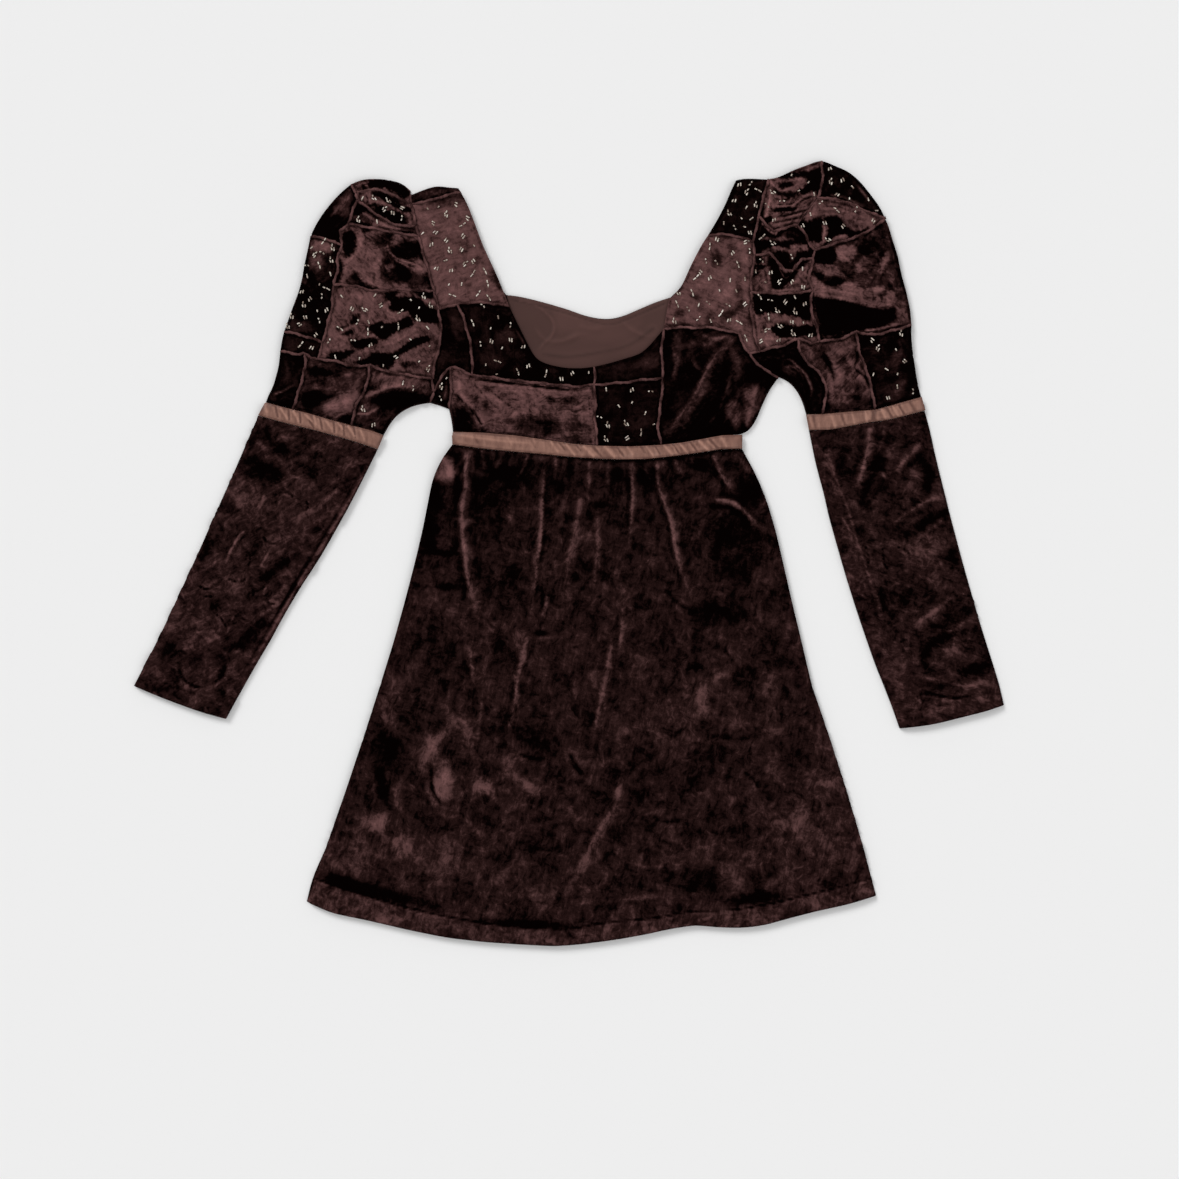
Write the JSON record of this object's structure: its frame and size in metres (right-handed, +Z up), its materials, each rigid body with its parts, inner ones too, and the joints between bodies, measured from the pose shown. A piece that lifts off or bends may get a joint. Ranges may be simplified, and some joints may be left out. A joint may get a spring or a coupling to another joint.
{
  "type": "medieval dress",
  "caption": "Short patchwork velvet dress laid flat, with puffed sleeves gathered at satin ribbons, a scooped neck and a gathered flared skirt.",
  "frame": {"origin": "middle of the dress's outline, on the surface that it lies on", "axes": "+X to the wearer's left, +Y from hem to shoulders, +Z up from the surface, out of the dress's front"},
  "size_m": [1, 0.9017, 0.023],
  "materials": {
    "velvet_dark": "near-black brown crushed velvet",
    "velvet_brown": "dark brown crushed velvet",
    "velvet_mauve": "mauve-brown crushed velvet",
    "velvet_plain": "dark brown crushed velvet with a mottled nap",
    "satin_ribbon": "dusty rose-tan satin",
    "lining": "smooth matt brown woven lining"
  },
  "bodies": {
    "root": {"shoulder_right": "velvet_dark", "side_front_right": "velvet_dark", "bust_right": "velvet_dark", "gusset_right": "velvet_dark", "bust_centre": "velvet_dark", "midriff_centre": "velvet_dark", "shoulder_left": "velvet_dark", "puff_cap_side_right": "velvet_dark", "puff_outer_right": "velvet_dark", "puff_strip_right": "velvet_dark", "puff_cap_top_right": "velvet_dark", "puff_wedge_right": "velvet_dark", "band_outer_right": "velvet_dark", "puff_cap_top_left": "velvet_dark", "puff_cap_side_left": "velvet_dark", "puff_outer_left": "velvet_dark", "puff_gather_top_left": "velvet_dark", "puff_gather_left": "velvet_dark", "puff_front_left": "velvet_dark", "band_outer_left": "velvet_dark", "band_inner_left": "velvet_dark", "side_front_left": "velvet_brown", "puff_middle_right": "velvet_brown", "puff_gather_right": "velvet_brown", "band_middle_right": "velvet_brown", "band_inner_right": "velvet_brown", "puff_fold_left": "velvet_brown", "strap_right": "velvet_mauve", "midriff_right": "velvet_mauve", "strap_left": "velvet_mauve", "puff_front_right": "velvet_mauve", "band_middle_left": "velvet_mauve", "bodice_back": "velvet_plain", "puff_back_right": "velvet_plain", "puff_back_left": "velvet_plain", "skirt_back": "velvet_plain", "skirt_front": "velvet_plain", "lower_sleeve_right": "velvet_plain", "lower_sleeve_left": "velvet_plain", "lower_sleeve_back_right": "velvet_plain", "lower_sleeve_back_left": "velvet_plain", "ribbon_waist": "satin_ribbon", "ribbon_waist_back": "satin_ribbon", "ribbon_sleeve_right": "satin_ribbon", "ribbon_sleeve_right_back": "satin_ribbon", "ribbon_sleeve_left": "satin_ribbon", "ribbon_sleeve_left_back": "satin_ribbon", "back_lining": "lining"}
  },
  "joints": []
}
